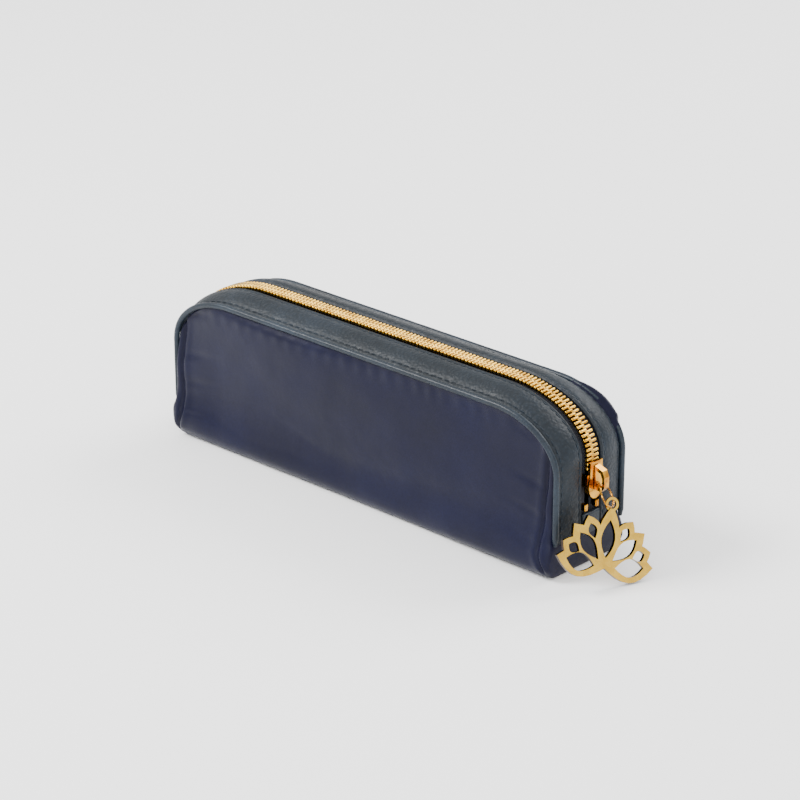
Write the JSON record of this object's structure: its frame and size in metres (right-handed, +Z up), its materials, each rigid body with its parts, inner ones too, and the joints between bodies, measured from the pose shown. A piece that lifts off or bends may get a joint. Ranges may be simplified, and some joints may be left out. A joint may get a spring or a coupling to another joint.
{
  "type": "zippered pouch",
  "caption": "Long box-shaped soft pouch with a zip over the top and down both ends, leather-look bands, and a pierced flower charm hung from the slider",
  "frame": {"origin": "centre of the flat underside that the pouch stands on", "axes": "+Z up; +X along the pouch towards the closed end of the zip; -Y towards the front panel"},
  "size_m": [0.2069, 0.0419, 0.0611],
  "materials": {
    "front_panel": "satin nylon",
    "back_panel": "satin nylon",
    "base_panel": "satin nylon",
    "left_end_panel": "satin nylon",
    "right_end_panel": "satin nylon",
    "foam_front": "open foam",
    "foam_back": "open foam",
    "foam_base": "open foam",
    "lining_front": "plain woven lining",
    "lining_back": "plain woven lining",
    "lining_base": "plain woven lining",
    "lining_left_end": "plain woven lining",
    "lining_right_end": "plain woven lining",
    "band_front": "pebbled",
    "band_back": "pebbled",
    "piping_front": "smooth rolled",
    "piping_back": "smooth rolled",
    "zip_tab_left": "pebbled",
    "zip_tab_right": "pebbled",
    "zip_tape_front": "woven tape",
    "zip_tape_back": "woven tape",
    "zip_chain_front": "polished gold",
    "zip_chain_back": "polished gold",
    "top_stop_front": "polished gold",
    "top_stop_back": "polished gold",
    "bottom_stop": "polished gold",
    "slider_body": "polished gold",
    "slider_bail": "polished gold",
    "jump_ring": "polished gold",
    "lotus_charm": "polished gold"
  },
  "bodies": {
    "pouch": {"front_panel": "front_panel", "back_panel": "back_panel", "base_panel": "base_panel", "left_end_panel": "left_end_panel", "right_end_panel": "right_end_panel", "foam_front": "foam_front", "foam_back": "foam_back", "foam_base": "foam_base", "lining_front": "lining_front", "lining_back": "lining_back", "lining_base": "lining_base", "lining_left_end": "lining_left_end", "lining_right_end": "lining_right_end", "band_front": "band_front", "band_back": "band_back", "piping_front": "piping_front", "piping_back": "piping_back", "zip_tab_left": "zip_tab_left", "zip_tab_right": "zip_tab_right", "zip_tape_front": "zip_tape_front", "zip_tape_back": "zip_tape_back", "zip_chain_front": "zip_chain_front", "zip_chain_back": "zip_chain_back", "top_stop_front": "top_stop_front", "top_stop_back": "top_stop_back", "bottom_stop": "bottom_stop"},
    "slider": {"slider_body": "slider_body", "slider_bail": "slider_bail"},
    "ring": {"jump_ring": "jump_ring"},
    "charm": {"lotus_charm": "lotus_charm"}
  },
  "joints": [
    {"name": "slider_travel", "type": "slide", "parent": "pouch", "child": "slider", "axis": [0, 0, 1], "range_m": [0, 0.004], "deforming": ["zip_chain_front", "zip_chain_back", "zip_tape_front", "zip_tape_back"]},
    {"name": "ring_swing", "type": "hinge", "parent": "slider", "child": "ring", "pos_m": [0.0969, 0, 0.0318], "axis": [0, -1, 0], "range_deg": [0, 45]},
    {"name": "charm_swing", "type": "hinge", "parent": "ring", "child": "charm", "pos_m": [0.10137, 0, 0.02492], "axis": [0.3142, -0.9272, 0.204], "range_deg": [0, 40]}
  ]
}
